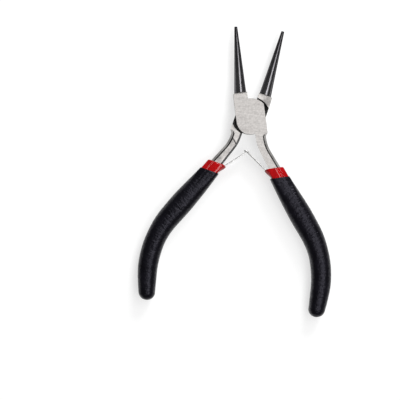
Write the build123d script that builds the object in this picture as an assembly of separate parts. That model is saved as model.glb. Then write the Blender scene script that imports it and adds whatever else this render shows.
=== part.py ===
from build123d import *
from math import cos, radians, sin, tan
import os

# Round nose pliers: two forged halves lapped on one rivet, dipped grips, and two crossed leaf
# springs that push the halves open.
#
# Millimetres. +Y runs along the middle of the tool to the jaw tips. +Z is the rivet's axis and
# points out of the front plate. The origin is on that axis, in the ground back face of the joint.
#
# One half is built as it stands when the tool is closed, with its jaw left of the middle line and
# its handle right of it. The front half is that solid opened by half the angle. The rear half is
# the same forging turned over about the tool's long axis, and opened the other way.

# driving dimensions: joint
joint_thickness = 9.0
joint_half_width = 6.1
plate_radius = 7.5             # round end of each lapped plate
plate_corner_radius = 5.5      # free corner of the plate, below the jaw
plate_shoulder_radius = 0.9    # corner of the plate where its straight side begins
plate_gap = 0.05               # between the two ground plates
recess_radius = 8.15           # wall of the pocket that the other half's plate turns in
half_opening = 14.05           # each half, from closed to the pose that the springs hold

# driving dimensions: rivet
rivet_radius = 3.25
rivet_head_radius = 3.7
rivet_head_height = 0.7
rivet_clearance = 0.04

# driving dimensions: jaw
shoulder_top = 10.35           # end face that the cone stands on
shoulder_half_width = 5.8
shoulder_inner = 0.05          # the two shoulders stop this far from the middle line when closed
shoulder_bevel = 0.45          # along the front and back edges of that end face
shoulder_corner = 0.35         # its outer corner, seen from the front
jaw_tip = 38.1
cone_base_radius = 2.5
cone_tip_radius = 0.61
cone_base_centre = 2.79
cone_tip_centre = 0.66
cone_tip_bevel = 0.15

# driving dimensions: bare arm, from the joint to the coating
arm_inner = 0.81               # inner wall beside the middle line
arm_outer = 5.14               # outermost line of the arm, below the joint
arm_draft = 0.85               # how far the inner wall leans from the front face to the back face
arm_back_step = 0.6            # the arm's back is forged this far below the joint's back face
arm_waist_y = -9.6             # the arm's outer side runs straight from here
inner_bend_y = -9.68
inner_bend_radius = 16.5
inner_bend_angle = 18.3
outer_bend_y = -10.25
outer_bend_radius = 13.8
outer_bend_angle = 22.8
bevel_width = 1.36             # forged bevel along the arm's outer edges
bevel_wall_width = 0.55        # its steep part, beside the flat face
bevel_wall_depth = 0.9
bevel_depth = 1.9
arm_top_y = -3.0
arm_end_y = -27.5
pad_outer = (5.8, -8.34)       # the joint's flat back ends in a slanting step between these points
pad_inner = (1.85, -11.83)
pad_step_lean = 40             # degrees that the step leans back from the rivet's axis

# driving dimensions: handle, along a centreline that starts at the top of the red coat
handle_start = (6.98, -23.0)
handle_angle = 21.5            # its lean away from the tool's long axis
handle_straight = 29.0
handle_bend_radius = 39.2
handle_bend_angle = 38.0
handle_length = 66.9
coat_top_y = -22.7             # dip lines are level when the half hangs by its jaw
grip_top_y = -26.9

# driving dimensions: leaf springs
leaf_thickness = 0.5
leaf_width = 5.0
leaf_foot_end = 10.0
leaf_bend_at = 1.8
leaf_seat = 2.5                # flat of the tang that the leaf's foot lies on, from the centreline
leaf_crossing = 14.74          # where the two leaves cross, from the rivet's axis
leaf_past_crossing = 0.45
leaf_tip_length = 0.8
leaf_bend_radius = 1.6
leaf_slot_width = 2.4
leaf_slot_length = 2.7
leaf_tongue_width = 2.0
leaf_tongue_head = 3.2
leaf_rivet_radius = 1.0
leaf_rivet_at = 6.2
leaf_rivet_depth = 2.4
leaf_rivet_head = 1.45
leaf_rivet_fit = 0.0
leaf_tip_radius = 0.5

# driving dimensions: dipped coats
coat_width = 6.8
coat_thickness = 9.9
coat_shift = -0.05
coat_length = 63.5
coat_rim_bevel = 0.4
coat_end_bevel = 1.0
grip_rim_bevel = 0.2
grip_end_radius = 3.0
cover_root = (3.5, -22.9)      # the inner coat also climbs a little way up the leaf
cover_top = (2.53, -23.54)
cover_foot = (4.86, -26.76)
cover_margin = 0.6             # of coat beyond each edge of the leaf
cover_lip = 0.35

middle_z = joint_thickness / 2
plate_floor = middle_z + plate_gap / 2
upper_z = 4.8                  # the bare arm and the top of its coats sit this high


def prism(sketch, low, high):
    """A flat outline raised from one height to another."""
    return extrude(Pos(0, 0, low) * sketch, high - low)


def nearest(items, x, y):
    """The vertex of a flat outline that lies nearest to a place."""
    return items.sort_by_distance((x, y, 0))[0]


def front_plate():
    """Outline of the lapped plate with its jaw shoulder."""
    side = 2 * joint_half_width
    plate = Circle(plate_radius) & Rectangle(side, 4 * plate_radius)
    plate_corner_y = (plate_radius**2 - joint_half_width**2) ** 0.5
    plate = fillet(nearest(plate.vertices(), -joint_half_width, -plate_corner_y), plate_corner_radius)
    plate = fillet(nearest(plate.vertices(), joint_half_width, plate_corner_y), plate_shoulder_radius)
    return plate


def jaw_shoulder():
    """The block that carries the cone, as thick as the whole joint."""
    plate_corner_y = (plate_radius**2 - joint_half_width**2) ** 0.5
    outline = Polygon(
        (-joint_half_width, 0),
        (-shoulder_inner, 0),
        (-shoulder_inner, shoulder_top),
        (-shoulder_half_width, shoulder_top),
        (-joint_half_width, plate_corner_y),
        align=None,
    )
    outline = chamfer(nearest(outline.vertices(), -shoulder_half_width, shoulder_top), shoulder_corner)
    block = prism(outline, 0, joint_thickness)
    end_face = block.faces().sort_by(Axis.Y)[-1]
    return chamfer(end_face.edges().filter_by(Axis.X), shoulder_bevel)


def arm_outline(inner_inset, outer_inset):
    """Outline of the bare arm at one height, with each side set in from its outermost line."""
    inner_x = arm_inner + inner_inset
    outer_x = arm_outer - outer_inset
    corner = Vector(joint_half_width - 0.1, -8.0)
    side = Line((joint_half_width, arm_top_y), corner)
    run_out = TangentArc((outer_x, arm_waist_y), corner, tangent=(0, 1))
    outer_straight = Line((outer_x, arm_waist_y), (outer_x, outer_bend_y))
    outer_arc = JernArc(outer_straight @ 1, (0, -1), outer_bend_radius + outer_inset, outer_bend_angle)
    outer_end = below(outer_arc @ 1, outer_bend_angle)
    outer_leg = Line(outer_arc @ 1, outer_end)
    inner_straight = Line((inner_x, arm_top_y), (inner_x, inner_bend_y))
    inner_arc = JernArc(inner_straight @ 1, (0, -1), inner_bend_radius - inner_inset, inner_bend_angle)
    inner_end = below(inner_arc @ 1, inner_bend_angle)
    inner_leg = Line(inner_arc @ 1, inner_end)
    top = Line((joint_half_width, arm_top_y), (inner_x, arm_top_y))
    foot = Line(outer_end, inner_end)
    edges = [side, run_out, outer_straight, outer_arc, outer_leg, foot]
    edges += [inner_leg, inner_arc, inner_straight, top]
    return make_face(edges)


def below(point, lean):
    """The point where a line that leans outwards from -Y meets the arm's lower end."""
    drop = point.Y - arm_end_y
    return Vector(point.X + drop * tan(radians(lean)), arm_end_y)


def bare_arm():
    """Forged arm: flat faces, bevelled outer edges and an inner wall with draft."""
    back = arm_back_step
    front = joint_thickness
    outer_inset_at = [
        (0.0, bevel_width),
        (back, bevel_width),
        (back + bevel_wall_depth, bevel_width - bevel_wall_width),
        (back + bevel_depth, 0.0),
        (front - bevel_depth, 0.0),
        (front - bevel_wall_depth, bevel_width - bevel_wall_width),
        (front, bevel_width),
    ]
    outlines = []
    for z, outer_inset in outer_inset_at:
        inner_inset = arm_draft * (front - z) / front
        outlines.append(Pos(0, 0, z) * arm_outline(inner_inset, outer_inset))
    return loft(outlines, ruled=True, clean=False)


def back_step():
    """What is cut away behind the arm, beyond the slanting step at the joint's edge."""
    run = (Vector(*pad_outer) - Vector(*pad_inner)) * 0.6
    high_end = Vector(*pad_outer) + run
    low_end = Vector(*pad_inner) - run
    far_x = handle_start[0] + 2 * joint_half_width
    far_y = 2 * arm_end_y
    outline = Polygon(
        (low_end.X, low_end.Y),
        (low_end.X, far_y),
        (far_x, far_y),
        (far_x, high_end.Y),
        (high_end.X, high_end.Y),
        align=None,
    )
    return extrude(Pos(0, 0, -arm_back_step) * outline, 2 * arm_back_step, taper=pad_step_lean)


def cone_jaw():
    """Round jaw: a slim cone whose inner side meets its twin at the tip."""
    foot = Vector(-cone_base_centre, shoulder_top, middle_z)
    tip = Vector(-cone_tip_centre, jaw_tip, middle_z)
    axis = (tip - foot).normalized()
    slope = (cone_base_radius - cone_tip_radius) / (tip - foot).length
    buried = 1.0
    half_section = Polygon(
        (0, -buried),
        (cone_base_radius + slope * buried, -buried),
        (cone_tip_radius, (tip - foot).length),
        (0, (tip - foot).length),
        align=None,
    )
    half_section = chamfer(nearest(half_section.vertices(), cone_tip_radius, jaw_tip), cone_tip_bevel)
    cone = revolve(Plane.XZ * half_section, Axis.Z)
    return Plane(origin=foot, x_dir=(0, 0, 1), z_dir=axis) * cone


def rivet_body(growth, low, high):
    """Rivet or rivet hole, with flush countersunk ends where it meets the joint's faces."""
    radius = rivet_radius + growth
    head = rivet_head_radius + growth
    body = Pos(0, 0, (low + high) / 2) * Cylinder(radius, high - low)
    if low <= 0:
        body += Pos(0, 0, rivet_head_height / 2) * Cone(head, radius, rivet_head_height)
    if high >= joint_thickness:
        z = joint_thickness - rivet_head_height / 2
        body += Pos(0, 0, z) * Cone(radius, head, rivet_head_height)
    return body


def handle_frame(s):
    """Plane across the handle at a distance along its centreline; its X points outwards."""
    x, y = handle_start
    lean = radians(handle_angle)
    straight = min(s, handle_straight)
    x += straight * sin(lean)
    y -= straight * cos(lean)
    bend_length = handle_bend_radius * radians(handle_bend_angle)
    bent = min(max(s - handle_straight, 0), bend_length)
    turned = lean - bent / handle_bend_radius
    x += handle_bend_radius * (cos(turned) - cos(lean))
    y -= handle_bend_radius * (sin(lean) - sin(turned))
    rest = max(s - handle_straight - bend_length, 0)
    x += rest * sin(turned)
    y -= rest * cos(turned)
    along = Vector(sin(turned), -cos(turned), 0)
    outward = Vector(cos(turned), sin(turned), 0)
    return Plane(origin=(x, y, 0), x_dir=outward, z_dir=along)


def handle_loft(stations, ruled):
    """Body along the handle through (distance, shift, centre height, width, thickness, corner)."""
    sections = []
    for s, shift, height, width, thickness, corner in stations:
        section = RectangleRounded(width, thickness, corner) if corner else Rectangle(width, thickness)
        sections.append(handle_frame(s) * Pos(shift, height) * section)
    return loft(sections, ruled=ruled, clean=False)


def tang():
    """Steel inside the grip, flat beside the leaf spring's foot and slimmer towards its end."""
    return handle_loft(
        [
            (1.2, 0.0, upper_z, 2 * leaf_seat, 7.6, 0),
            (12.0, 0.0, upper_z, 2 * leaf_seat, 7.2, 0),
            (29.0, 0.0, middle_z, 4.7, 6.4, 0),
            (42.0, 0.0, middle_z, 4.3, 5.9, 0),
            (57.0, 0.0, middle_z, 3.6, 5.4, 0),
        ],
        ruled=True,
    )


def forged_half(hole_growth):
    """One complete half, closed, with the front plate's hole grown by a clearance."""
    front = joint_thickness
    half = prism(front_plate(), plate_floor, front)
    half += jaw_shoulder()
    half += bare_arm()
    half -= Pos(0, 0, (plate_floor - 1) / 2) * Cylinder(recess_radius, plate_floor + 1)
    half -= back_step()
    half += tang()
    half += cone_jaw()
    half -= rivet_body(hole_growth, plate_floor - 1, front)
    return half


def handle_place(s, u):
    """Point in the plane of the tool, from its distance along the handle and outwards from it."""
    frame = handle_frame(s)
    return frame.origin + frame.x_dir * u


def leaf_path():
    """Middle line of a leaf spring: foot on the tang, straight blade, and a tip turned outwards."""
    opening = radians(half_opening)
    middle_line = Vector(-sin(opening), -cos(opening))
    across = Vector(-cos(opening), sin(opening))
    crossing = middle_line * leaf_crossing
    foot_end = handle_place(leaf_foot_end, -leaf_seat - leaf_thickness / 2)
    bend = handle_place(leaf_bend_at, -leaf_seat - leaf_thickness / 2)
    past = crossing + (crossing - bend).normalized() * leaf_past_crossing
    tip = past + across * leaf_tip_length
    return FilletPolyline(foot_end, bend, past, tip, radius=(leaf_bend_radius, leaf_tip_radius))


def leaf_blade(path):
    """The strip itself, of full width."""
    across = Plane(origin=path @ 0, x_dir=(0, 0, 1), z_dir=path % 0)
    strip = sweep(across * Rectangle(leaf_width, leaf_thickness), path)
    return Pos(0, 0, middle_z) * strip


def leaf_crossing_frame():
    """Frame at the crossing, with its Z along the blade towards the tip and its X along the rivet."""
    opening = radians(half_opening)
    crossing = Vector(-sin(opening), -cos(opening)) * leaf_crossing
    bend = handle_place(leaf_bend_at, -leaf_seat - leaf_thickness / 2)
    return Plane(origin=crossing + Vector(0, 0, middle_z), x_dir=(0, 0, 1), z_dir=crossing - bend)


def slotted_leaf():
    """Leaf of the front half: the other leaf's tongue goes through its slot."""
    slot = Box(leaf_slot_width, 4 * leaf_thickness, leaf_slot_length)
    return leaf_blade(leaf_path()) - leaf_crossing_frame() * slot - leaf_rivet(leaf_rivet_fit)


def tongued_leaf():
    """Leaf of the rear half: narrowed to a tongue, with a wider head beyond the slot."""
    spare = (leaf_width - leaf_tongue_width) / 2
    head_spare = (leaf_width - leaf_tongue_head) / 2
    reach = leaf_past_crossing + leaf_tip_length + 1
    blade = leaf_blade(leaf_path())
    for side in (-1, 1):
        x = side * (leaf_tongue_width + spare) / 2
        shoulder = Pos(x, 0, 0) * Box(spare, 8, leaf_slot_length)
        x = side * (leaf_tongue_head + head_spare) / 2
        tip_side = Pos(x, 0, (leaf_slot_length + reach) / 2 - 0.01) * Box(head_spare, 8, reach)
        blade -= leaf_crossing_frame() * shoulder
        blade -= leaf_crossing_frame() * tip_side
    return blade - leaf_rivet(leaf_rivet_fit)


def leaf_rivet(growth=0.0):
    """Countersunk rivet through the leaf's foot into the tang."""
    face = -leaf_seat - leaf_thickness
    frame = handle_frame(leaf_rivet_at)
    outer = frame.origin + frame.x_dir * face + Vector(0, 0, middle_z)
    along = Plane(origin=outer, x_dir=(0, 0, 1), z_dir=frame.x_dir)
    length = leaf_thickness + leaf_rivet_depth
    shank = Pos(0, 0, length / 2) * Cylinder(leaf_rivet_radius + growth, length)
    head = Pos(0, 0, leaf_thickness / 2)
    head *= Cone(leaf_rivet_head + growth, leaf_rivet_radius + growth, leaf_thickness)
    return along * (shank + head)


def end_rim(body, reach):
    """Edges round the flat end of a handle's loft."""
    end_point = handle_frame(reach).origin + Vector(0, 0, middle_z)
    return body.faces().sort_by_distance(end_point)[0].edges()


def dip_line(body, y, bevel):
    """End a coat at its dip line, with a softened rim."""
    room = 4 * handle_length
    body -= Pos(0, y + room / 2) * Box(room, room, room)
    rim = body.faces().sort_by(Axis.Y)[-1]
    return chamfer(rim.edges(), bevel)


def leaf_cover():
    """Where the inner coat climbs up the leaf, beyond the handle's inner side."""
    outline = Polygon(
        cover_top,
        cover_foot,
        (handle_start[0], cover_foot[1]),
        (handle_start[0], cover_root[1]),
        cover_root,
        align=None,
    )
    half_width = leaf_width / 2 + cover_margin
    cover = prism(outline, middle_z - half_width, middle_z + half_width)
    inner_face = cover.faces().sort_by(Axis.X)[0]
    return fillet(inner_face.edges(), cover_lip)


def red_coat_body():
    """Outside of the inner coat, over the tang from its dip line to its rounded end."""
    body = handle_loft(
        [
            (-4.0, coat_shift, upper_z, coat_width, coat_thickness, 1.5),
            (6.5, coat_shift, upper_z, coat_width, coat_thickness, 1.5),
            (15.0, coat_shift, 4.7, 6.9, 9.2, 1.6),
            (29.0, -0.1, middle_z, 6.6, 8.5, 1.6),
            (37.0, -0.1, middle_z, 6.4, 8.1, 1.6),
            (46.0, -0.1, middle_z, 6.1, 7.8, 1.6),
            (54.0, -0.1, middle_z, 5.8, 7.5, 1.6),
            (coat_length, -0.4, middle_z, 4.8, 7.0, 1.6),
        ],
        ruled=True,
    )
    body = dip_line(body, coat_top_y, coat_rim_bevel) + leaf_cover()
    return chamfer(end_rim(body, coat_length), coat_end_bevel)


def grip_body():
    """Outside of the black grip, fullest where the palm closes on it."""
    body = handle_loft(
        [
            (-4.0, -0.18, upper_z, 7.0, 10.4, 1.9),
            (4.5, -0.18, upper_z, 7.65, 10.6, 2.0),
            (13.0, -0.32, 4.7, 8.85, 10.8, 3.6),
            (22.0, -0.29, middle_z, 9.62, 10.9, 4.1),
            (30.5, -0.3, middle_z, 9.35, 10.6, 4.1),
            (39.0, -0.25, middle_z, 8.65, 10.2, 3.8),
            (47.5, -0.25, middle_z, 8.5, 9.9, 3.75),
            (57.0, -0.18, middle_z, 7.95, 9.5, 3.6),
            (handle_length, -0.55, middle_z, 6.5, 9.0, 3.1),
        ],
        ruled=False,
    )
    body = fillet(end_rim(body, handle_length), grip_end_radius)
    return dip_line(body, grip_top_y, grip_rim_bevel)


def front(shape):
    """A piece of the front half, opened from the closed pose."""
    return Rot(0, 0, half_opening) * shape


def rear(shape):
    """The same piece on the rear half: turned over about the tool's long axis, and opened."""
    turned_over = Pos(0, 0, joint_thickness) * Rot(0, 180, 0) * shape
    return Rot(0, 0, -half_opening) * turned_over


def build():
    """Every sub-part by its name, in place."""
    leaf_pin = leaf_rivet()
    loose_half = forged_half(rivet_clearance) - leaf_pin
    tight_half = forged_half(0.0) - leaf_pin
    coat = red_coat_body()
    grip = grip_body() - coat
    pieces = {
        "front_lever": front(loose_half),
        "rear_lever": rear(tight_half),
        "pivot_rivet": rivet_body(0.0, 0, joint_thickness),
        "front_leaf_spring": front(slotted_leaf()),
        "rear_leaf_spring": rear(tongued_leaf()),
        "front_leaf_rivet": front(leaf_pin),
        "rear_leaf_rivet": rear(leaf_pin),
        "front_inner_sleeve": front(coat - loose_half - leaf_blade(leaf_path()) - leaf_pin),
        "rear_inner_sleeve": rear(coat - tight_half - leaf_blade(leaf_path()) - leaf_pin),
        "front_outer_grip": front(grip),
        "rear_outer_grip": rear(grip),
    }
    return pieces


os.makedirs("parts", exist_ok=True)
for name, piece in build().items():
    export_step(piece, f"parts/{name}.step")
    print(name, "solids", len(piece.solids()), "volume", round(piece.volume, 1))
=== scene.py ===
from math import cos, log, pi, radians, sin, sqrt

import bmesh
import bpy
import numpy as np
from mathutils import Matrix, Vector


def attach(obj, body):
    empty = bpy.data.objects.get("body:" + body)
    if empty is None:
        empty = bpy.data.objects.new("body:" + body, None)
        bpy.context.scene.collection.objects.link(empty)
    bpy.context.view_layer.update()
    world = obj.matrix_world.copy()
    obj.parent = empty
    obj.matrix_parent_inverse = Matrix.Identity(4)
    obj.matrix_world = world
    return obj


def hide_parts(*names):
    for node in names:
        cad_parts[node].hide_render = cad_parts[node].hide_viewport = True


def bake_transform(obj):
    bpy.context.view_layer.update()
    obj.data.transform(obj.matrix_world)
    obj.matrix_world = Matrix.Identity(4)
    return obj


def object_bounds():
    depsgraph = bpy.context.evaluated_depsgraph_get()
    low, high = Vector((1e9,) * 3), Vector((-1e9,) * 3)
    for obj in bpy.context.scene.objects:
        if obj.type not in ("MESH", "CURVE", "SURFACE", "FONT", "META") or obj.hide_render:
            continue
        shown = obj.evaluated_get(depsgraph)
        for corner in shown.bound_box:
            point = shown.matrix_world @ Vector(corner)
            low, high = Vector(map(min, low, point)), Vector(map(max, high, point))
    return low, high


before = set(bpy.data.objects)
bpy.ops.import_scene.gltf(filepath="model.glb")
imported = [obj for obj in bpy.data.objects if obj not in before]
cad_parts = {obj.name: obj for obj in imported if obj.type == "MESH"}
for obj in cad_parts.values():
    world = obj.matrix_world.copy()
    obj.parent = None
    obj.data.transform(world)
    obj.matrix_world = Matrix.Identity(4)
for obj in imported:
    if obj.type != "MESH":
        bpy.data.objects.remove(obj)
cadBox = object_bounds()

mm = 0.001

# each piece is worked out on the front half as it stands closed, in millimetres, then put in place
tool = {
    "opening": 14.05,        # degrees that each half stands open at rest
    "thickness": 9.0,        # of the joint
    "plateFloor": 4.525,     # where the ground plates meet
    "recessRadius": 8.15,
    "shoulderTop": 10.35,    # end faces that the cones stand on
    "armBack": 0.6,          # height of the arm's back face
    "leafCrossing": 14.74,   # from the rivet's axis to where the leaves cross
    "halves": {"front": "front_half", "rear": "rear_half"},
}

handle = {
    "start": (6.98, -23.0),
    "lean": 21.5,            # degrees away from the tool's long axis
    "straight": 29.0,
    "bendRadius": 39.2,
    "bendAngle": 38.0,
}


def halfPlace(side):         # from the closed front half to where a half stands at rest
    turn = radians(tool["opening"])
    if side == "front":
        return Matrix.Rotation(turn, 4, "Z")
    over = Matrix.Translation((0, 0, tool["thickness"] * mm)) @ Matrix.Rotation(pi, 4, "Y")
    return Matrix.Rotation(-turn, 4, "Z") @ over


def handleFrame(s):          # centre of the handle at a distance along it, the ways outwards and onwards
    lean = radians(handle["lean"])
    radius = handle["bendRadius"]
    bendLength = radius * radians(handle["bendAngle"])
    run = min(s, handle["straight"])
    bent = min(max(s - handle["straight"], 0), bendLength)
    rest = max(s - handle["straight"] - bendLength, 0)
    turned = lean - bent / radius
    x = handle["start"][0] + run * sin(lean) + radius * (cos(turned) - cos(lean)) + rest * sin(turned)
    y = handle["start"][1] - run * cos(lean) - radius * (sin(lean) - sin(turned)) - rest * cos(turned)
    return (x, y, 0), (cos(turned), sin(turned), 0), (sin(turned), -cos(turned), 0)


def fade(low, high, value):  # 0 below low, 1 above high, smooth between
    t = min(max((value - low) / (high - low), 0), 1)
    return t * t * (3 - 2 * t)


coat = {                     # s, shift, height, width, thickness, corner
    "rows": [
        (-4.0, -0.05, 4.8, 6.8, 9.9, 1.5),
        (6.5, -0.05, 4.8, 6.8, 9.9, 1.5),
        (15.0, -0.05, 4.7, 6.9, 9.2, 1.6),
        (29.0, -0.1, 4.5, 6.6, 8.5, 1.6),
        (37.0, -0.1, 4.5, 6.4, 8.1, 1.6),
        (46.0, -0.1, 4.5, 6.1, 7.8, 1.6),
        (54.0, -0.1, 4.5, 5.8, 7.5, 1.6),
        (63.5, -0.4, 4.5, 4.8, 7.0, 1.6),
    ],
    "top": -0.32,            # dip line at the middle of the handle
    "end": 63.3,
    "endInset": 0.8,
    "endSpare": 2.0,         # the last ring before the end stays this far from it
    "lip": 0.5,              # rounding of the rim
    "lipRings": 7,
    "wall": 1.15,            # how far the rim reaches in, onto the steel
    "mouth": (1.2, 0.06),    # below the dip line, where the wall inside the rim starts and ends
    "step": 0.22,
    "hiddenStep": 4.0,
    "shownTo": 7.0,
    "tuck": 0.04,            # drawn in under the grip's mouth
    "tucked": (4.4, 5.6),
    "groove": 0.42,          # the forged bevel's line shows through as a groove
    "cutBack": 0.56,         # slope of the coat beyond that groove
    "bevelFades": (5.0, 17.0),
    "slant": 0.394,          # dip lines are level while the handle leans
    "slantFades": (5.5, 16.0),
    "diagonal": 0.293,       # of a corner's radius, lost on each side at 45 degrees
    "ringPoints": 320,
}

leafCover = {                # the red coat climbs out over the leaf, on the handle's inner side
    "height": 0.9,
    "rises": (-0.3, 0.5),
    "falls": (0.7, 4.3),
}

grip = {
    "rows": [
        (-4.0, -0.18, 4.8, 7.0, 10.4, 1.9),
        (4.5, -0.18, 4.8, 7.65, 10.6, 2.0),
        (13.0, -0.32, 4.7, 8.85, 10.8, 3.6),
        (22.0, -0.29, 4.5, 9.62, 10.9, 4.1),
        (30.5, -0.3, 4.5, 9.35, 10.6, 4.1),
        (39.0, -0.25, 4.5, 8.65, 10.2, 3.8),
        (47.5, -0.25, 4.5, 8.5, 9.9, 3.75),
        (57.0, -0.18, 4.5, 7.95, 9.5, 3.6),
        (66.9, -0.55, 4.5, 6.5, 9.0, 3.1),
    ],
    "top": 4.19,
    "end": 66.9,
    "lip": 0.28,
    "lipRings": 6,
    "liningInset": 0.7,      # rounding of the hollow's bottom
    "liningSpare": 1.5,
    "mouth": 0.6,            # the hollow's last ring below the rim
    "mouthRim": (0.1, 0.02), # its place below the dip line, and its inset
    "mouthStep": 0.5,
    "mouthTo": 8.0,          # rings stand closer as far as this below the rim
    "groove": 0.2,           # what is left of the coat's groove
    "endRound": 3.0,
    "endRings": 19,
    "endGrain": 0.5,         # share of the grain left at the very end
    "step": 0.3,
    "hiddenStep": 4.0,
    "ringPoints": 150,
    "grainRises": 1.6,
    "grainSize": 0.85,
    "grainDepth": 0.12,
    "seed": 4.0,
}

shut = 9.0                   # inset that draws any ring together into a point
least = 1e-4                 # half width of that point


def section(rows, s):        # smooth reading of a table of sections
    knots = [row[0] for row in rows]
    i = min(max(int(np.searchsorted(knots, s)) - 1, 0), len(rows) - 2)
    gap = knots[i + 1] - knots[i]
    t = min(max((s - knots[i]) / gap, 0), 1)
    before, after = max(i - 1, 0), min(i + 2, len(rows) - 1)
    values = []
    for a, b, a0, b1 in zip(rows[i][1:], rows[i + 1][1:], rows[before][1:], rows[after][1:]):
        inSlope = (b - a0) / (knots[i + 1] - knots[before]) * gap
        outSlope = (b1 - a) / (knots[after] - knots[i]) * gap
        values.append(
            (2 * t**3 - 3 * t**2 + 1) * a
            + (t**3 - 2 * t**2 + t) * inSlope
            + (3 * t**2 - 2 * t**3) * b
            + (t**3 - t**2) * outSlope
        )
    return values


def ringOf(rows, s, inset, grain=0.0, bulge=0.0, groove=0.0):
    shift, height, width, thickness, corner = section(rows, s)
    centre, out, along = handleFrame(s)
    keep = coat["diagonal"] * corner
    round45 = ((1 - 2 * keep / width) + (1 - 2 * keep / thickness)) / 2
    topped = 1 - fade(*coat["bevelFades"], s)
    return {
        "centre": [(c + shift * o) * mm for c, o in zip(centre, out)][:2] + [height * mm],
        "outward": out,
        "along": along,
        "halfWidth": max(width / 2 - inset, least) * mm,
        "halfThick": max(thickness / 2 - inset, least) * mm,
        "squareness": 2 * log(sqrt(0.5)) / log(round45),
        "slant": coat["slant"] * (1 - fade(*coat["slantFades"], s)),
        "cutBack": coat["cutBack"] * topped,
        "groove": groove * topped * mm,
        "bulge": bulge * mm,
        "grain": grain,
        "distance": s * mm,
    }


def leafBulge(s):
    if s > leafCover["falls"][1]:
        return 0.0
    return leafCover["height"] * fade(*leafCover["rises"], s) * (1 - fade(*leafCover["falls"], s))


def collarRings():           # from inside the rim, round its lip and down to the closed end
    rows, top, lip, groove = coat["rows"], coat["top"], coat["lip"], coat["groove"]
    low, high = coat["mouth"]
    rings = [ringOf(rows, top + low, shut), ringOf(rows, top + low, coat["wall"])]
    rings.append(ringOf(rows, top + high, coat["wall"]))
    for k in reversed(range(coat["lipRings"])):
        turn = k / (coat["lipRings"] - 1) * pi / 2
        s = top + lip * (1 - sin(turn))
        rings.append(ringOf(rows, s, lip * (1 - cos(turn)), 0, leafBulge(s), groove))
    s = top + lip
    while s < coat["end"] - coat["endSpare"]:
        s += coat["step"] if s < coat["shownTo"] else coat["hiddenStep"]
        rings.append(ringOf(rows, s, coat["tuck"] * fade(*coat["tucked"], s), 0, leafBulge(s), groove))
    rings.append(ringOf(rows, coat["end"], coat["endInset"]))
    rings.append(ringOf(rows, coat["end"], shut))
    return rings


def gripRings():             # up the hollow that the red coat fills, round the rim and down to the end
    top, lip, end, endRound = grip["top"], grip["lip"], grip["end"], grip["endRound"]
    lining, rows = coat["rows"], grip["rows"]
    rings = [ringOf(lining, coat["end"], inset) for inset in (shut, grip["liningInset"])]
    s = coat["end"] - grip["liningSpare"]
    while s > top + grip["mouth"]:
        rings.append(ringOf(lining, s, 0, 0, 0, coat["groove"]))
        s -= grip["hiddenStep"] if s > top + grip["mouthTo"] else grip["mouthStep"]
    place, inset = grip["mouthRim"]
    rings.append(ringOf(lining, top + place, inset, 0, 0, coat["groove"]))
    for k in range(grip["lipRings"]):
        turn = k / (grip["lipRings"] - 1) * pi / 2
        s = top + lip * (1 - cos(turn))
        rings.append(ringOf(rows, s, lip * (1 - sin(turn)), 0, 0, grip["groove"]))
    s = top + lip
    while s < end - endRound - grip["step"]:
        s += grip["step"]
        rings.append(ringOf(rows, s, 0, fade(0, grip["grainRises"], s - top - lip), 0, grip["groove"]))
    for k in range(grip["endRings"]):
        share = k / (grip["endRings"] - 1)
        s = end - endRound * (1 - sin(share * pi / 2))
        inset = endRound * (1 - cos(share * pi / 2))
        rings.append(ringOf(rows, s, inset, 1 - (1 - grip["endGrain"]) * share))
    rings.append(ringOf(rows, end, shut))
    return rings


def spineOf(rings, name):    # one loose vertex for each ring, with the ring's sizes as attributes
    mesh = bpy.data.meshes.new(name)
    mesh.from_pydata([ring["centre"] for ring in rings], [], [])
    for key, value in rings[0].items():
        if key == "centre":
            continue
        kind = "FLOAT_VECTOR" if isinstance(value, tuple) else "FLOAT"
        layer = mesh.attributes.new(key, kind, "POINT")
        flat = np.array([ring[key] for ring in rings], np.float32).ravel()
        layer.data.foreach_set("vector" if kind == "FLOAT_VECTOR" else "value", flat)
    made = bpy.data.objects.new(name, mesh)
    bpy.context.scene.collection.objects.link(made)
    return made


def addNode(tree, kind, inputs=None, **settings):
    made = tree.nodes.new(kind)
    for key, value in settings.items():
        setattr(made, key, value)
    for key, value in (inputs or {}).items():
        if isinstance(value, bpy.types.NodeSocket):
            tree.links.new(value, made.inputs[key])
        else:
            made.inputs[key].default_value = value
    return made


def calc(tree, operation, *values):
    return addNode(tree, "ShaderNodeMath", dict(enumerate(values)), operation=operation).outputs[0]


def scaled(tree, vector, factor):
    made = addNode(tree, "ShaderNodeVectorMath", {0: vector, "Scale": factor}, operation="SCALE")
    return made.outputs[0]


def added(tree, a, b):
    return addNode(tree, "ShaderNodeVectorMath", {0: a, 1: b}, operation="ADD").outputs[0]


def times(tree, a, b):
    return calc(tree, "MULTIPLY", a, b)


def minus(tree, a, b):
    return calc(tree, "SUBTRACT", a, b)


def over(tree, a, b):
    return calc(tree, "DIVIDE", a, b)


def attributeOf(tree, name, kind="FLOAT"):
    made = addNode(tree, "GeometryNodeInputNamedAttribute", {"Name": name}, data_type=kind)
    return made.outputs["Attribute"]


skin = {                     # the tree that makes every dipped coat, its lengths in millimetres
    "inputs": {
        "Ring Points": 96,
        "Face Edge": 0.95,       # from the handle's middle to where the forged bevel starts
        "Groove Width": 0.42,
        "Corner Softness": 0.9,
        "Leaf Half Width": 4.3,
        "Leaf Slope": 1.6,
        "Grain Size": 0.6,
        "Grain Depth": 0.0,
        "Seed": 1.0,
    },
    "numbers": ("Ring Points", "Seed"),
    "cutGain": 4.0,          # how soon the corners' cut sets in along the handle
    "creases": 1.4,          # shares of the grain's two patterns, and its level
    "pebbles": 0.5,
    "level": 0.25,
    "stretch": (0.22, 0.22, 1.0),
    "softness": 0.6,
    "weld": 0.001,
}


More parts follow.
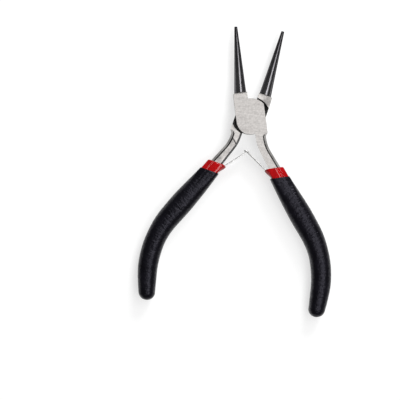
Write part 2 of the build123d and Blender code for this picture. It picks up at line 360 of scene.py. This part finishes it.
def skinSockets(tree):
    face = tree.interface
    face.new_socket("Spine", in_out="INPUT", socket_type="NodeSocketGeometry")
    for name, value in skin["inputs"].items():
        kind = "NodeSocketInt" if name == "Ring Points" else "NodeSocketFloat"
        socket = face.new_socket(name, in_out="INPUT", socket_type=kind)
        socket.default_value = value if name in skin["numbers"] else value * mm
    face.new_socket("Finish", in_out="INPUT", socket_type="NodeSocketMaterial")
    face.new_socket("Skin", in_out="OUTPUT", socket_type="NodeSocketGeometry")
    return tree.nodes.new("NodeGroupInput").outputs, tree.nodes.new("NodeGroupOutput").inputs


def roundedBox(tree, turn, read):    # a point of the section, with the points spaced evenly round it
    power = read("squareness")
    wide, high = calc(tree, "COSINE", turn), calc(tree, "SINE", turn)
    shares = []
    for wave, half in ((wide, read("halfWidth")), (high, read("halfThick"))):
        ratio = over(tree, calc(tree, "ABSOLUTE", wave), over(tree, half, mm))
        shares.append(calc(tree, "POWER", ratio, power))
    radius = calc(tree, "POWER", calc(tree, "ADD", *shares), over(tree, -1.0, power))
    radius = times(tree, radius, mm)
    return times(tree, wide, radius), times(tree, high, radius)


def bevelShowing(tree, given, u, z, read):   # the outer corners are cut back beyond a groove
    tall = calc(tree, "ABSOLUTE", z)
    past = minus(tree, u, given["Face Edge"])
    slope = times(tree, calc(tree, "MAXIMUM", past, 0.0), read("cutBack"))
    roof = minus(tree, read("halfThick"), slope)
    cut = calc(tree, "SMOOTH_MIN", tall, roof, given["Corner Softness"])
    share = calc(tree, "MINIMUM", times(tree, read("cutBack"), skin["cutGain"]), 1.0)
    tall = calc(tree, "ADD", tall, times(tree, minus(tree, cut, tall), share))
    offset = over(tree, past, given["Groove Width"])
    bell = calc(tree, "EXPONENT", times(tree, times(tree, offset, offset), -1.0))
    tall = minus(tree, tall, times(tree, bell, read("groove")))
    return calc(tree, "MAXIMUM", tall, 0.0)


def leafPush(tree, given, u, tall, read):    # how far the coat bulges over the leaf's root
    near = over(tree, minus(tree, given["Leaf Half Width"], tall), given["Leaf Slope"])
    near = calc(tree, "MINIMUM", calc(tree, "MAXIMUM", near, 0.0), 1.0)
    back = times(tree, calc(tree, "ADD", read("halfWidth"), 1e-6), -1.0)     # never nought
    inner = calc(tree, "MAXIMUM", over(tree, u, back), 0.0)
    return times(tree, times(tree, near, inner), read("bulge"))


def grained(tree, given, made):      # pebbles, and creases that run across the handle
    spot = attributeOf(tree, "skinPlace", "FLOAT_VECTOR")
    perGrain = over(tree, 1.0, given["Grain Size"])
    inputs = {"Vector": spot, "W": given["Seed"], "Scale": perGrain, "Smoothness": skin["softness"]}
    cells = addNode(
        tree, "ShaderNodeTexVoronoi", inputs, voronoi_dimensions="4D", feature="SMOOTH_F1"
    ).outputs["Distance"]
    inputs = {0: spot, 1: skin["stretch"]}
    stretched = addNode(tree, "ShaderNodeVectorMath", inputs, operation="MULTIPLY").outputs[0]
    inputs = {"Vector": stretched, "W": given["Seed"], "Scale": perGrain, "Detail": 2.0}
    creases = addNode(tree, "ShaderNodeTexNoise", inputs, noise_dimensions="4D").outputs[0]
    mix = minus(tree, times(tree, creases, skin["creases"]), times(tree, cells, skin["pebbles"]))
    mix = minus(tree, mix, skin["level"])
    lift = times(tree, times(tree, mix, attributeOf(tree, "grainMask")), given["Grain Depth"])
    offset = scaled(tree, tree.nodes.new("GeometryNodeInputNormal").outputs[0], lift)
    return addNode(tree, "GeometryNodeSetPosition", {"Geometry": made, "Offset": offset}).outputs[0]


def buildSkinTree():         # skins the rings of a spine, and grains the skin where the ring says so
    tree = bpy.data.node_groups.new("dippedSkin", "GeometryNodeTree")
    given, result = skinSockets(tree)
    counted = {0: given["Spine"]}
    rings = addNode(tree, "GeometryNodeAttributeDomainSize", counted, component="MESH").outputs[0]
    across = calc(tree, "ADD", given["Ring Points"], 1)
    inputs = {"Size X": 1.0, "Size Y": 1.0, "Vertices X": rings, "Vertices Y": across}
    made = addNode(tree, "GeometryNodeMeshGrid", inputs).outputs[0]
    index = tree.nodes.new("GeometryNodeInputIndex").outputs[0]
    # the added halves and quarters keep whole numbers from being rounded down
    ring = calc(tree, "FLOOR", over(tree, calc(tree, "ADD", index, 0.5), across))
    place = minus(tree, index, times(tree, ring, across))
    turn = times(tree, over(tree, place, given["Ring Points"]), 2 * pi)
    ringIndex = calc(tree, "ADD", ring, 0.25)

    def read(name, kind="FLOAT"):    # what the spine holds for this point's ring
        if name == "centre":
            value = tree.nodes.new("GeometryNodeInputPosition").outputs[0]
        else:
            value = attributeOf(tree, name, kind)
        inputs = {"Geometry": given["Spine"], "Value": value, "Index": ringIndex}
        sample = addNode(tree, "GeometryNodeSampleIndex", inputs, data_type=kind, domain="POINT")
        return sample.outputs["Value"]

    u, z = roundedBox(tree, turn, read)
    tall = bevelShowing(tree, given, u, z, read)
    z = times(tree, tall, calc(tree, "SIGN", z))
    u = minus(tree, u, leafPush(tree, given, u, tall, read))

    point = added(tree, read("centre", "FLOAT_VECTOR"), scaled(tree, read("outward", "FLOAT_VECTOR"), u))
    slanted = scaled(tree, read("along", "FLOAT_VECTOR"), times(tree, u, read("slant")))
    up = addNode(tree, "ShaderNodeCombineXYZ", {"Z": z}).outputs[0]
    point = added(tree, added(tree, point, slanted), up)
    straight = addNode(tree, "ShaderNodeCombineXYZ", {"X": u, "Y": z, "Z": read("distance")}).outputs[0]
    kept = {"grainMask": ("FLOAT", read("grain")), "skinPlace": ("FLOAT_VECTOR", straight)}
    for name, (kind, value) in kept.items():
        inputs = {"Geometry": made, "Name": name, "Value": value}
        stored = addNode(tree, "GeometryNodeStoreNamedAttribute", inputs, data_type=kind, domain="POINT")
        made = stored.outputs[0]
    made = addNode(tree, "GeometryNodeSetPosition", {"Geometry": made, "Position": point}).outputs[0]
    inputs = {"Geometry": made, "Distance": skin["weld"] * mm}
    made = addNode(tree, "GeometryNodeMergeByDistance", inputs).outputs[0]
    made = grained(tree, given, made)
    made = addNode(tree, "GeometryNodeSetShadeSmooth", {"Geometry": made}).outputs[0]
    made = addNode(tree, "GeometryNodeRealizeInstances", {"Geometry": made}).outputs[0]
    finished = {"Geometry": made, "Material": given["Finish"]}
    made = addNode(tree, "GeometryNodeSetMaterial", finished).outputs[0]
    tree.links.new(made, result[0])
    return tree


def meshFrom(made, name):    # the evaluated result as a plain mesh on an object of its own
    graph = bpy.context.evaluated_depsgraph_get()
    mesh = bpy.data.meshes.new_from_object(made.evaluated_get(graph))
    mesh.name = name
    done = bpy.data.objects.new(name, mesh)
    bpy.context.scene.collection.objects.link(done)
    bpy.data.objects.remove(made)
    return done


def outwardFaces(mesh):
    bm = bmesh.new()
    bm.from_mesh(mesh)
    bmesh.ops.recalc_face_normals(bm, faces=bm.faces)
    if bm.calc_volume(signed=True) < 0:
        bmesh.ops.reverse_faces(bm, faces=bm.faces)
    bm.to_mesh(mesh)
    bm.free()


def skinned(rings, tree, name, settings, finish, side):
    spine = spineOf(rings, name + "Spine")
    modifier = spine.modifiers.new("dipped", "NODES")
    modifier.node_group = tree
    values = {"Finish": finish, **settings}
    for item in tree.interface.items_tree:
        if item.item_type == "SOCKET" and item.in_out == "INPUT" and item.name in values:
            modifier[item.identifier] = values[item.name]
    bpy.context.view_layer.update()
    made = meshFrom(spine, name)
    outwardFaces(made.data)
    made.data.transform(halfPlace(side))
    made.data.update()
    return made


def newFinish(name, **shader):
    finish = bpy.data.materials.new(name)
    finish.use_nodes = True
    tree = finish.node_tree
    tree.nodes.clear()
    output = tree.nodes.new("ShaderNodeOutputMaterial")
    principled = tree.nodes.new("ShaderNodeBsdfPrincipled")
    tree.links.new(principled.outputs[0], output.inputs[0])
    for key, value in shader.items():
        principled.inputs[key.replace("_", " ")].default_value = value
    return finish, tree, principled


def objectSpace(tree):
    return tree.nodes.new("ShaderNodeTexCoord").outputs["Object"]


patterns = {                 # patches in a metre along x, y and z, turn in degrees, detail, roughness
    "groundLines": ((420, 3000, 420), -7.0, 8.0, 0.72),
    "longLines": ((90, 2000, 90), -2.0, 3.0, 0.6),
    "groundPatches": ((1300, 1300, 1300), 0.0, 7.0, 0.72),
    "grit": ((1100, 1100, 1100), 0.0, 7.0, 0.68),
    "blots": ((240, 240, 240), 0.0, 2.0, 0.5),
    "coneLines": ((2600, 90, 2600), 0.0, 3.0, 0.5),
    "coneClouds": ((420, 420, 420), 0.0, 4.0, 0.6),
    "drawn": ((700, 700, 4200), 0.0, 3.0, 0.5),
    "flow": ((520, 260, 520), 0.0, 2.0, 0.5),
    "creases": ((420, 420, 1200), 0.0, 1.5, 0.5),
    "worn": ((210, 210, 210), 0.0, 4.0, 0.6),
}


def noiseOf(tree, key, place):
    scale, turn, detail, rough = patterns[key]
    inputs = {"Vector": place, "Scale": scale, "Rotation": (0, 0, radians(turn))}
    fitted = addNode(tree, "ShaderNodeMapping", inputs).outputs[0]
    inputs = {"Vector": fitted, "Scale": 1.0, "Detail": detail, "Roughness": rough}
    return addNode(tree, "ShaderNodeTexNoise", inputs).outputs[0]


def ramp(tree, value, *stops):
    made = addNode(tree, "ShaderNodeValToRGB", {0: value})
    edges = made.color_ramp.elements
    while len(edges) < len(stops):
        edges.new(0.5)
    for edge, (position, colour) in zip(edges, stops):
        edge.position = position
        edge.color = (*colour, 1)
    return made.outputs[0]


def span(tree, value, low, high, fromLow=0.3, fromHigh=0.7):
    inputs = {"Value": value, "From Min": fromLow, "From Max": fromHigh, "To Min": low, "To Max": high}
    return addNode(tree, "ShaderNodeMapRange", inputs).outputs[0]


def bumped(tree, principled, height, key):
    depth, strength = relief[key]
    made = addNode(tree, "ShaderNodeBump", {"Height": height, "Distance": depth * mm, "Strength": strength})
    tree.links.new(made.outputs[0], principled.inputs["Normal"])


softSpread = (0.32, 0.68)    # values of a pattern that take the darkest and the lightest colour
hardSpread = (0.40, 0.60)

shades = {                   # darkest and lightest colour, smoothest and roughest part, spread
    "ground": ((0.365, 0.348, 0.338), (0.545, 0.524, 0.508), 0.46, 0.60, (0.40, 0.59)),
    "tumbled": ((0.25, 0.239, 0.232), (0.60, 0.577, 0.560), 0.42, 0.60, hardSpread),
    "forged": ((0.23, 0.222, 0.215), (0.47, 0.457, 0.445), 0.36, 0.54, hardSpread),
    "scale": ((0.018, 0.018, 0.018), (0.085, 0.083, 0.080), 0.45, 0.70, hardSpread),
    # near-black for the steep wall of the arm's bevel: painted shade
    "wallShade": ((0.008, 0.008, 0.008), (0.030, 0.029, 0.028), 0.45, 0.65, hardSpread),
    "cone": ((0.030, 0.029, 0.032), (0.185, 0.181, 0.190), 0.18, 0.28, softSpread),
    "spring": ((0.36, 0.355, 0.35), (0.52, 0.515, 0.51), 0.26, 0.42, softSpread),
    "red": ((0.36, 0.0006, 0.002), (0.52, 0.0012, 0.0035), 0.04, 0.08, softSpread),
    "black": ((0.0016, 0.0014, 0.0024), (0.0046, 0.0042, 0.0068), 0.28, 0.40, softSpread),
}

relief = {                   # depth of the fine surface in millimetres, and its strength
    "ground": (0.04, 0.6),
    "rough": (0.03, 0.6),
    "cone": (0.008, 0.4),
    "red": (0.008, 0.5),
    "black": (0.34, 0.8),
}


def toned(tree, principled, key, pattern, gloss=None):
    dark, light, smooth, rough, (low, high) = shades[key]
    tree.links.new(ramp(tree, pattern, (low, dark), (high, light)), principled.inputs["Base Color"])
    tree.links.new(span(tree, gloss or pattern, smooth, rough), principled.inputs["Roughness"])


def mixed(tree, first, share, second):
    return calc(tree, "ADD", times(tree, first, share), times(tree, second, 1 - share))


def groundSteel():           # surface-ground faces with fine lines across the tool
    finish, tree, principled = newFinish("groundSteel", Metallic=1.0)
    place = objectSpace(tree)
    lines = noiseOf(tree, "groundLines", place)
    scratches = mixed(tree, lines, 0.5, noiseOf(tree, "longLines", place))
    surface = mixed(tree, scratches, 0.45, noiseOf(tree, "groundPatches", place))
    toned(tree, principled, "ground", surface, gloss=lines)
    bumped(tree, principled, surface, "ground")
    return finish


def roughSteel(name, key):   # bevels and sides as the forging dies leave them, tumbled but uneven
    finish, tree, principled = newFinish(name, Metallic=1.0)
    place = objectSpace(tree)
    grit = noiseOf(tree, "grit", place)
    toned(tree, principled, key, mixed(tree, grit, 0.5, noiseOf(tree, "blots", place)), gloss=grit)
    bumped(tree, principled, grit, "rough")
    return finish


jaw = {                      # round jaws, turned and polished
    "foot": (-2.79, 10.35, 4.5),
    "tip": (-0.66, 38.1, 4.5),
    "footRadius": 2.5,
    "tipRadius": 0.61,
    "tipBreak": 0.15,
    "buried": 0.5,
    "sides": 96,
    "rings": 25,
    "tipRings": 5,
    "paintedHighlight": (0.70, 0.26),    # how pale the blackened steel is at the foot and at the tip: painted highlight, brighter at the foot
}


def coneSteel():             # blackened cones, polished along their length
    finish, tree, principled = newFinish("coneSteel", Metallic=1.0, Specular_Tint=(0.1, 0.1, 0.1, 1))
    place = objectSpace(tree)
    lines, clouds = noiseOf(tree, "coneLines", place), noiseOf(tree, "coneClouds", place)
    height = addNode(tree, "ShaderNodeSeparateXYZ", {0: place}).outputs["Y"]
    # paler towards the foot than the tip: a painted highlight, brighter at the foot
    highlightTowardsFoot = span(tree, height, *jaw["paintedHighlight"], jaw["foot"][1] * mm, jaw["tip"][1] * mm)
    pattern = mixed(tree, highlightTowardsFoot, 0.6, mixed(tree, lines, 0.5, clouds))
    toned(tree, principled, "cone", pattern, gloss=clouds)
    bumped(tree, principled, lines, "cone")
    return finish


def springSteel():
    finish, tree, principled = newFinish("springSteel", Metallic=1.0)
    toned(tree, principled, "spring", noiseOf(tree, "drawn", objectSpace(tree)))
    return finish


def redVinyl():              # thick and glossy, with slow runs in its surface
    finish, tree, principled = newFinish("redVinyl", Specular_IOR_Level=0.42)
    flow = noiseOf(tree, "flow", objectSpace(tree))
    toned(tree, principled, "red", flow)
    bumped(tree, principled, flow, "red")
    return finish


pebble = {
    "scale": 1900.0,         # in a metre
    "softness": 0.5,
    "share": 0.15,           # of the creases' depth
}


def blackVinyl():            # soft sheen over creases that run across the handle, with faint pebbles
    shader = {"Specular_IOR_Level": 0.19, "Specular_Tint": (0.84, 0.82, 1.0, 1)}
    finish, tree, principled = newFinish("blackVinyl", **shader)
    place = addNode(tree, "ShaderNodeAttribute", attribute_name="skinPlace").outputs["Vector"]
    inputs = {"Vector": place, "Scale": pebble["scale"], "Smoothness": pebble["softness"]}
    pebbles = addNode(tree, "ShaderNodeTexVoronoi", inputs, feature="SMOOTH_F1").outputs["Distance"]
    creases, worn = noiseOf(tree, "creases", place), noiseOf(tree, "worn", place)
    toned(tree, principled, "black", worn, gloss=mixed(tree, worn, 0.5, creases))
    bumped(tree, principled, minus(tree, creases, times(tree, pebbles, pebble["share"])), "black")
    return finish


finishes = {
    "ground": groundSteel(),
    "tumbled": roughSteel("tumbledSteel", "tumbled"),
    "forged": roughSteel("forgedSteel", "forged"),
    "scale": roughSteel("scaleSteel", "scale"),
    "wallShade": roughSteel("wallShadeSteel", "wallShade"),
    "cone": coneSteel(),
    "spring": springSteel(),
    "red": redVinyl(),
    "black": blackVinyl(),
}
print("finishes made:", ", ".join(finishes))

lever = {
    "groundBreak": 0.09,     # broken edges of the ground faces
    "forgedBreak": 0.14,     # softer edges left by the forging dies
    "sharpFrom": 26.0,       # degrees
    "flatWithin": 0.4,       # degrees, to join the triangles of one flat face
    "rivetHole": 4.6,        # no broken edge inside this radius
    "hiddenTo": -27.0,       # nothing shows beyond here
    "groundTo": -9.0,        # the ground plate ends here and the arm begins
    "bevelFrom": -8.0,       # forged bevel along the arm's outer edges
    "bevelLean": (0.4, 0.7), # how far its faces turn to the front or to the back
    "wallDepth": 0.9,        # of its steep part, painted near-black as shade
    "innerFrom": -3.0,       # inner side of the arm
    "innerLean": -0.5,
    "footFrom": 8.0,         # bevel round the cone's foot
    "footLean": (0.4, 0.3),
    "flat": 0.98,            # a normal's part along the rivet's axis on a flat face
    "slack": 0.02,           # either side of a face's own level
    "coneSlack": 0.05,
    "weld": 0.003,
    "sliver": 0.001,
}


def mergedCopy(node, name):
    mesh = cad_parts[node].data.copy()
    mesh.name = name
    bm = bmesh.new()
    bm.from_mesh(mesh)
    bmesh.ops.remove_doubles(bm, verts=bm.verts, dist=lever["weld"] * mm)
    bmesh.ops.dissolve_degenerate(bm, edges=bm.edges, dist=lever["sliver"] * mm)
    bmesh.ops.dissolve_limit(bm, angle_limit=radians(lever["flatWithin"]), verts=bm.verts, edges=bm.edges)
    bm.to_mesh(mesh)
    bm.free()
    stale = mesh.attributes.get("custom_normal")
    if stale:
        mesh.attributes.remove(stale)
    mesh.materials.clear()
    made = bpy.data.objects.new(name, mesh)
    bpy.context.scene.collection.objects.link(made)
    return made


def softEdges(made, width, segments=2):
    bevel = made.modifiers.new("edgeBreak", "BEVEL")
    bevel.width = width * mm
    bevel.segments = segments
    bevel.limit_method = "WEIGHT"
    even = made.modifiers.new("evenShading", "WEIGHTED_NORMAL")
    even.keep_sharp = True
    bpy.context.view_layer.update()
    name = made.name
    made.name = name + "Raw"
    return meshFrom(made, name)


def breakEdges(bm, weightOf):    # weights for the bevel, and sharp lines where there is none
    layer = bm.edges.layers.float.new("bevel_weight_edge")
    for edge in bm.edges:
        if len(edge.link_faces) != 2 or edge.calc_face_angle(0) < radians(lever["sharpFrom"]):
            continue
        weight = weightOf(edge)
        edge[layer] = weight
        edge.smooth = weight > 0
    for face in bm.faces:
        face.smooth = True


def finishOfFace(centre, normal):
    x, y, z = centre
    lean = abs(normal[2])
    slack = lever["slack"]
    if z < tool["plateFloor"] + slack and sqrt(x * x + y * y) < tool["recessRadius"] + slack:
        return "scale"       # floor and wall of the pocket
    if lean > lever["flat"] and z > tool["thickness"] - slack:
        return "ground" if y > lever["groundTo"] else "tumbled"
    if lean > lever["flat"] and z < tool["armBack"] + slack and y < lever["footFrom"]:
        return "tumbled"
    low, high = lever["bevelLean"]
    if y < lever["bevelFrom"] and low < lean < high and normal[0] > 0:
        fromFace = min(tool["thickness"] - z, z - tool["armBack"])
        # the steep wall next to the face takes the near-black finish: painted shade in the step
        return "wallShade" if 0 < fromFace < lever["wallDepth"] else "forged"
    up, out = lever["footLean"]
    if y > lever["footFrom"] and normal[1] > up and lean > out:
        return "ground"
    if y < lever["innerFrom"] and normal[0] < lever["innerLean"]:
        return "scale"
    return "forged"


def leverEdge(edge):
    place = (edge.verts[0].co + edge.verts[1].co) / (2 * mm)
    if sqrt(place.x**2 + place.y**2) < lever["rivetHole"] or place.y < lever["hiddenTo"]:
        return 0.0
    flats = [face for face in edge.link_faces if abs(face.normal.z) > lever["flat"]]
    if flats and place.y > lever["groundTo"]:
        return lever["groundBreak"] / lever["forgedBreak"]
    return 1.0


def dressLever(side):
    made = mergedCopy(side + "_lever", side + "Lever")
    slots = ["ground", "tumbled", "forged", "scale", "wallShade"]
    for key in slots:
        made.data.materials.append(finishes[key])
    bm = bmesh.new()
    bm.from_mesh(made.data)
    bm.transform(halfPlace(side).inverted())
    # the cone is made apart, so its place on the shoulder is closed
    top = (tool["shoulderTop"] + lever["coneSlack"]) * mm
    cone = [face for face in bm.faces if face.calc_center_median().y > top]
    bmesh.ops.delete(bm, geom=cone, context="FACES")
    bmesh.ops.holes_fill(bm, edges=[edge for edge in bm.edges if edge.is_boundary], sides=0)
    bm.normal_update()
    for face in bm.faces:
        face.material_index = slots.index(finishOfFace(face.calc_center_median() / mm, face.normal))
    breakEdges(bm, leverEdge)
    bm.transform(halfPlace(side))
    bm.to_mesh(made.data)
    bm.free()
    made = softEdges(made, lever["forgedBreak"])
    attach(made, tool["halves"][side])
    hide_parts(side + "_lever")
    return made


levers = {side: dressLever(side) for side in tool["halves"]}
print("levers:", [len(made.data.polygons) for made in levers.values()], "faces")


def dressJaw(side):
    foot, tip = Vector(jaw["foot"]), Vector(jaw["tip"])
    length = (tip - foot).length
    slope = (jaw["footRadius"] - jaw["tipRadius"]) / length
    straight = np.linspace(-jaw["buried"], length - jaw["tipBreak"], jaw["rings"])
    rows = [(-jaw["buried"], 0.0)]
    rows += [(along, jaw["footRadius"] - slope * along) for along in straight]
    for k in range(1, jaw["tipRings"] + 1):
        turn = k / jaw["tipRings"] * pi / 2
        inset = jaw["tipBreak"] * (1 - cos(turn))
        rows.append((length - jaw["tipBreak"] * (1 - sin(turn)), jaw["tipRadius"] - inset))
    rows.append((length, 0.0))
    stand = Matrix.Translation(foot) @ (tip - foot).to_track_quat("Z", "Y").to_matrix().to_4x4()
    bm = bmesh.new()
    turns = [k / jaw["sides"] * 2 * pi for k in range(jaw["sides"])]
    rings = []
    for along, radius in rows:
        circle = turns if radius > 0 else [0]
        rings.append([bm.verts.new((radius * cos(a), radius * sin(a), along)) for a in circle])
    for low, high in zip(rings, rings[1:]):
        for k in range(jaw["sides"]):
            j = (k + 1) % jaw["sides"]
            corners = [low[k % len(low)], low[j % len(low)], high[j % len(high)], high[k % len(high)]]
            bm.faces.new(list(dict.fromkeys(corners)))
    bmesh.ops.recalc_face_normals(bm, faces=bm.faces)
    for face in bm.faces:
        face.smooth = len(face.verts) == 4
    bm.transform(halfPlace(side) @ Matrix.Scale(mm, 4) @ stand)
    mesh = bpy.data.meshes.new(side + "Jaw")
    bm.to_mesh(mesh)
    bm.free()
    mesh.materials.append(finishes["cone"])
    made = bpy.data.objects.new(side + "Jaw", mesh)
    bpy.context.scene.collection.objects.link(made)
    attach(made, tool["halves"][side])
    return made


jaws = {side: dressJaw(side) for side in tool["halves"]}
print("cones:", [len(made.data.polygons) for made in jaws.values()], "faces")

rivet = {
    "head": 3.7,
    "fills": 3.735,          # ground in with the plate, so that no seam is left
}


def dressRivet():
    made = mergedCopy("pivot_rivet", "pivotRivet")
    grow = rivet["fills"] / rivet["head"]
    for vertex in made.data.vertices:
        if vertex.co.z > tool["thickness"] / 2 * mm:
            vertex.co.x *= grow
            vertex.co.y *= grow
    made.data.materials.append(finishes["ground"])
    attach(made, tool["halves"]["rear"])
    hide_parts("pivot_rivet")


dressRivet()
print("rivet made")

leaf = {
    "cuts": 14,              # cuts across the blade, evenly spaced from its root to the crossing
    "root": (5.08, -25.68),
    "edgeBreak": 0.07,
    "blendFrom": 0.04,       # share of the blade's length
    "snap": 0.0001,
}


def dressLeaf(side):
    made = mergedCopy(side + "_leaf_spring", side + "Leaf")
    root = halfPlace(side) @ (Vector((*leaf["root"], tool["thickness"] / 2)) * mm)
    crossing = Vector((0, -tool["leafCrossing"], tool["thickness"] / 2)) * mm
    blade = crossing - root
    bm = bmesh.new()
    bm.from_mesh(made.data)
    cut = {"plane_no": blade.normalized(), "dist": leaf["snap"] * mm}
    for k in range(1, leaf["cuts"]):
        place = root + blade * (k / leaf["cuts"])
        every = bm.verts[:] + bm.edges[:] + bm.faces[:]
        bmesh.ops.bisect_plane(bm, geom=every, plane_co=place, **cut)
    breakEdges(bm, lambda edge: 1.0)
    bm.to_mesh(made.data)
    bm.free()
    made.data.materials.append(finishes["spring"])
    made = softEdges(made, leaf["edgeBreak"])
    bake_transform(made)
    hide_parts(side + "_leaf_spring")


for side in tool["halves"]:
    dressLeaf(side)
    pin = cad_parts[side + "_leaf_rivet"].data
    pin.materials.clear()
    pin.materials.append(finishes["spring"])

skinTree = buildSkinTree()


def dressCollar(side):
    settings = {"Ring Points": coat["ringPoints"]}
    made = skinned(collarRings(), skinTree, side + "Collar", settings, finishes["red"], side)
    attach(made, tool["halves"][side])
    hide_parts(side + "_inner_sleeve")
    return made


def dressGrip(side):
    settings = {
        "Ring Points": grip["ringPoints"],
        "Grain Size": grip["grainSize"] * mm,
        "Grain Depth": grip["grainDepth"] * mm,
        "Seed": grip["seed"],
    }
    made = skinned(gripRings(), skinTree, side + "Grip", settings, finishes["black"], side)
    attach(made, tool["halves"][side])
    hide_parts(side + "_outer_grip")
    return made


collars = {side: dressCollar(side) for side in tool["halves"]}
grips = {side: dressGrip(side) for side in tool["halves"]}
print("collars:", [len(made.data.polygons) for made in collars.values()], "faces")
print("grips:", [len(made.data.polygons) for made in grips.values()], "faces")

studio = {                   # the camera's view in millimetres, the rest in metres
    "view": {"centre": (-17.45, -36.8), "width": 168.0, "lens": 200.0, "roll": 5.8},
    "floorSize": 4.0,
    "world": 0.18,
    "top": {"power": 11.5, "size": (0.52, 1.5), "place": (0.36, 0.0, 1.3)},
    "key": {"power": 10.0, "size": (0.5, 0.5), "place": (0.33, 1.0, 0.87)},
    "floorColour": 0.40,
    "floorGlow": 0.66,
    "floorRoughness": 0.85,
    "floorDrop": 0.00005,    # below the grips
    "farthest": 20.0,
}


def addFloor():
    half = studio["floorSize"] / 2
    low = cadBox[0][2] - studio["floorDrop"]
    corners = [(x * half, y * half, low) for x, y in ((-1, -1), (1, -1), (1, 1), (-1, 1))]
    mesh = bpy.data.meshes.new("floor")
    mesh.from_pydata(corners, [], [(0, 1, 2, 3)])
    floor = bpy.data.objects.new("floor", mesh)
    bpy.context.scene.collection.objects.link(floor)
    colour = (*[studio["floorColour"]] * 3, 1)
    finish, tree, principled = newFinish("paleFloor", Base_Color=colour, Roughness=studio["floorRoughness"])
    seen = tree.nodes.new("ShaderNodeLightPath").outputs
    direct = calc(tree, "MAXIMUM", seen["Is Camera Ray"], seen["Is Glossy Ray"])
    direct = calc(tree, "MAXIMUM", direct, seen["Is Transmission Ray"])
    strength = times(tree, direct, studio["floorGlow"])
    glow = addNode(tree, "ShaderNodeEmission", {"Color": (1, 1, 1, 1), "Strength": strength})
    both = addNode(tree, "ShaderNodeAddShader", {0: principled.outputs[0], 1: glow.outputs[0]})
    output = [node for node in tree.nodes if node.bl_idname == "ShaderNodeOutputMaterial"][0]
    tree.links.new(both.outputs[0], output.inputs[0])
    mesh.materials.append(finish)


def addLight(name, facts, target):
    data = bpy.data.lights.new(name, "AREA")
    data.energy = facts["power"]
    data.shape = "RECTANGLE"
    data.size, data.size_y = facts["size"]
    made = bpy.data.objects.new(name, data)
    made.location = facts["place"]
    back = (Vector(facts["place"]) - target).normalized()
    side = Vector((0, 1, 0)).cross(back).normalized()
    made.rotation_euler = Matrix((side, back.cross(side), back)).transposed().to_euler()
    bpy.context.scene.collection.objects.link(made)


def addCamera():
    view = studio["view"]
    data = bpy.data.cameras.new("camera")
    data.lens = view["lens"]
    camera = bpy.data.objects.new("camera", data)
    away = view["width"] * mm * view["lens"] / data.sensor_width
    camera.location = (view["centre"][0] * mm, view["centre"][1] * mm, away)
    camera.rotation_euler = (0, 0, radians(view["roll"]))
    data.clip_end = studio["farthest"]
    bpy.context.scene.collection.objects.link(camera)
    bpy.context.scene.camera = camera


addFloor()
middle = (cadBox[0] + cadBox[1]) / 2
for lamp in ("top", "key"):
    addLight(lamp, studio[lamp], middle)
world = bpy.data.worlds.new("studio")
world.use_nodes = True
sky = world.node_tree.nodes["Background"].inputs
sky["Color"].default_value = (1, 1, 1, 1)
sky["Strength"].default_value = studio["world"]
bpy.context.scene.world = world
addCamera()
bpy.context.scene.view_settings.view_transform = "Standard"
print("studio set")
